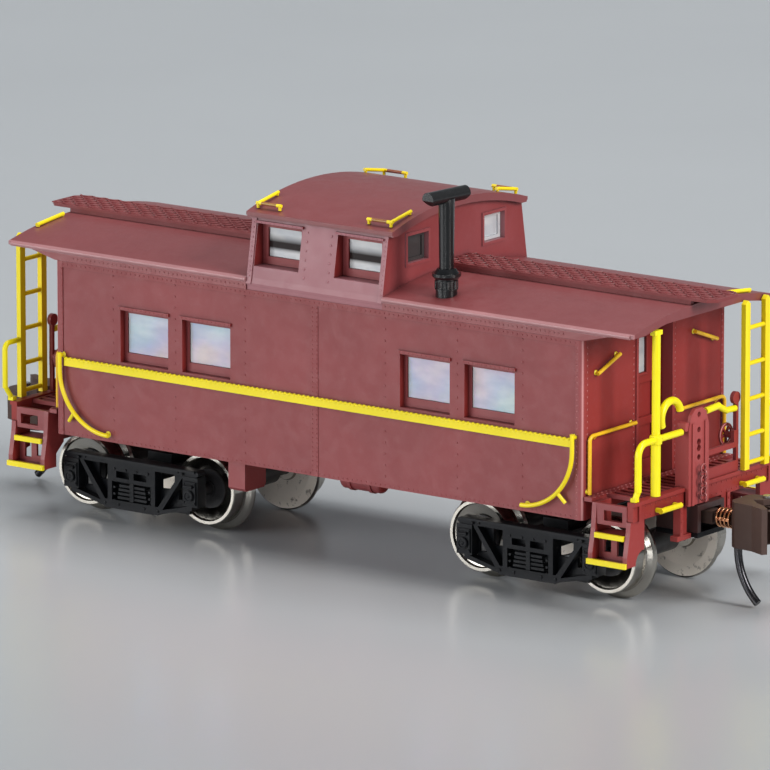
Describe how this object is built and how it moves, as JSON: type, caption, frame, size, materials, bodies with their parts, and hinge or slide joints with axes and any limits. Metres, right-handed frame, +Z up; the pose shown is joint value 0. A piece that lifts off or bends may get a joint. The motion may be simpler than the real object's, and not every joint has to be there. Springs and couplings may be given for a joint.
{
  "type": "model railway caboose",
  "caption": "Small-scale steel caboose with centre cupola, end platforms, ladders, swivelling trucks, rolling wheels and working knuckle couplers.",
  "frame": {"origin": "middle of the car, at the height of the bottom of the wheel flanges", "axes": "+X along the car towards end A, +Y across it, +Z up"},
  "size_m": [0.0698, 0.019, 0.0286],
  "materials": {
    "maroon_plastic": "satin painted",
    "red_plastic": "satin painted",
    "yellow_plastic": "painted",
    "gloss_black_plastic": "gloss",
    "clear_plastic": "clear gloss",
    "ballast_steel": "zinc plated",
    "screw_steel": "zinc plated",
    "truck_black_plastic": "satin moulded",
    "wheel_nickel": "blackened face, polished tread",
    "axle_black_plastic": "moulded",
    "coupler_brown_plastic": "moulded",
    "spring_copper": "polished",
    "trip_pin_black": "chemically blackened"
  },
  "bodies": {
    "car": {"body_shell": "maroon_plastic", "roof_panels": "maroon_plastic", "walkways": "maroon_plastic", "cupola_shell": "maroon_plastic", "cupola_roof": "maroon_plastic", "window_sashes": "maroon_plastic", "glazing": "clear_plastic", "end_doors": "red_plastic", "belt_rails": "yellow_plastic", "side_grabs": "yellow_plastic", "end_grabs": "yellow_plastic", "roof_grabs": "yellow_plastic", "cupola_grabs": "yellow_plastic", "smoke_jack": "gloss_black_plastic", "underframe": "maroon_plastic", "ballast": "ballast_steel", "tool_box": "maroon_plastic", "air_tank": "maroon_plastic", "brake_cylinder": "maroon_plastic", "platforms": "maroon_plastic", "end_sills": "red_plastic", "steps": "maroon_plastic", "step_edges": "yellow_plastic", "ladders": "yellow_plastic", "roof_posts": "yellow_plastic", "end_rails": "yellow_plastic", "gate_rails": "yellow_plastic", "brake_columns": "maroon_plastic", "brake_chains": "maroon_plastic", "gates": "maroon_plastic", "brake_wheels": "maroon_plastic", "sill_grabs": "yellow_plastic", "truck_screws": "screw_steel", "coupler_boxes": "maroon_plastic", "coupler_lids": "truck_black_plastic", "coupler_screws": "screw_steel"},
    "truck_a": {"frames_a": "truck_black_plastic", "bolster_a": "truck_black_plastic", "springs_a": "truck_black_plastic"},
    "wheelset_a1": {"wheels_a1": "wheel_nickel", "axle_a1": "axle_black_plastic"},
    "wheelset_a2": {"wheels_a2": "wheel_nickel", "axle_a2": "axle_black_plastic"},
    "truck_b": {"frames_b": "truck_black_plastic", "bolster_b": "truck_black_plastic", "springs_b": "truck_black_plastic"},
    "wheelset_b1": {"wheels_b1": "wheel_nickel", "axle_b1": "axle_black_plastic"},
    "wheelset_b2": {"wheels_b2": "wheel_nickel", "axle_b2": "axle_black_plastic"},
    "coupler_arm_a": {"coupler_a": "coupler_brown_plastic", "centring_spring_a": "spring_copper", "trip_pin_a": "trip_pin_black", "knuckle_pin_a": "screw_steel"},
    "coupler_knuckle_a": {"knuckle_a": "coupler_brown_plastic"},
    "coupler_arm_b": {"coupler_b": "coupler_brown_plastic", "centring_spring_b": "spring_copper", "trip_pin_b": "trip_pin_black", "knuckle_pin_b": "screw_steel"},
    "coupler_knuckle_b": {"knuckle_b": "coupler_brown_plastic"}
  },
  "joints": [
    {"name": "truck_a_swivel", "type": "hinge", "parent": "car", "child": "truck_a", "pos_m": [0.0179, 0, 0.0059], "axis": [0, 0, 1], "range_deg": [-8, 8]},
    {"name": "wheelset_a1_spin", "type": "hinge", "parent": "truck_a", "child": "wheelset_a1", "pos_m": [0.02342, 0, 0.00329], "axis": [0, 1, 0], "continuous": true},
    {"name": "wheelset_a2_spin", "type": "hinge", "parent": "truck_a", "child": "wheelset_a2", "pos_m": [0.01238, 0, 0.00329], "axis": [0, 1, 0], "continuous": true},
    {"name": "truck_b_swivel", "type": "hinge", "parent": "car", "child": "truck_b", "pos_m": [-0.0179, 0, 0.0059], "axis": [0, 0, 1], "range_deg": [-8, 8]},
    {"name": "wheelset_b1_spin", "type": "hinge", "parent": "truck_b", "child": "wheelset_b1", "pos_m": [-0.02342, 0, 0.00329], "axis": [0, 1, 0], "continuous": true},
    {"name": "wheelset_b2_spin", "type": "hinge", "parent": "truck_b", "child": "wheelset_b2", "pos_m": [-0.01238, 0, 0.00329], "axis": [0, 1, 0], "continuous": true},
    {"name": "coupler_a_swing", "type": "hinge", "parent": "car", "child": "coupler_arm_a", "pos_m": [0.0266, 0, 0.006], "axis": [0, 0, 1], "range_deg": [-10, 10], "stiffness_Nm_per_rad": 0.0002},
    {"name": "knuckle_a_swing", "type": "hinge", "parent": "coupler_arm_a", "child": "coupler_knuckle_a", "pos_m": [0.03275, 0.0011, 0.006], "axis": [0, 0, 1], "range_deg": [0, 30], "stiffness_Nm_per_rad": 0.0001},
    {"name": "coupler_b_swing", "type": "hinge", "parent": "car", "child": "coupler_arm_b", "pos_m": [-0.0266, 0, 0.006], "axis": [0, 0, 1], "range_deg": [-10, 10], "stiffness_Nm_per_rad": 0.0002},
    {"name": "knuckle_b_swing", "type": "hinge", "parent": "coupler_arm_b", "child": "coupler_knuckle_b", "pos_m": [-0.03275, -0.0011, 0.006], "axis": [0, 0, 1], "range_deg": [0, 30], "stiffness_Nm_per_rad": 0.0001}
  ]
}
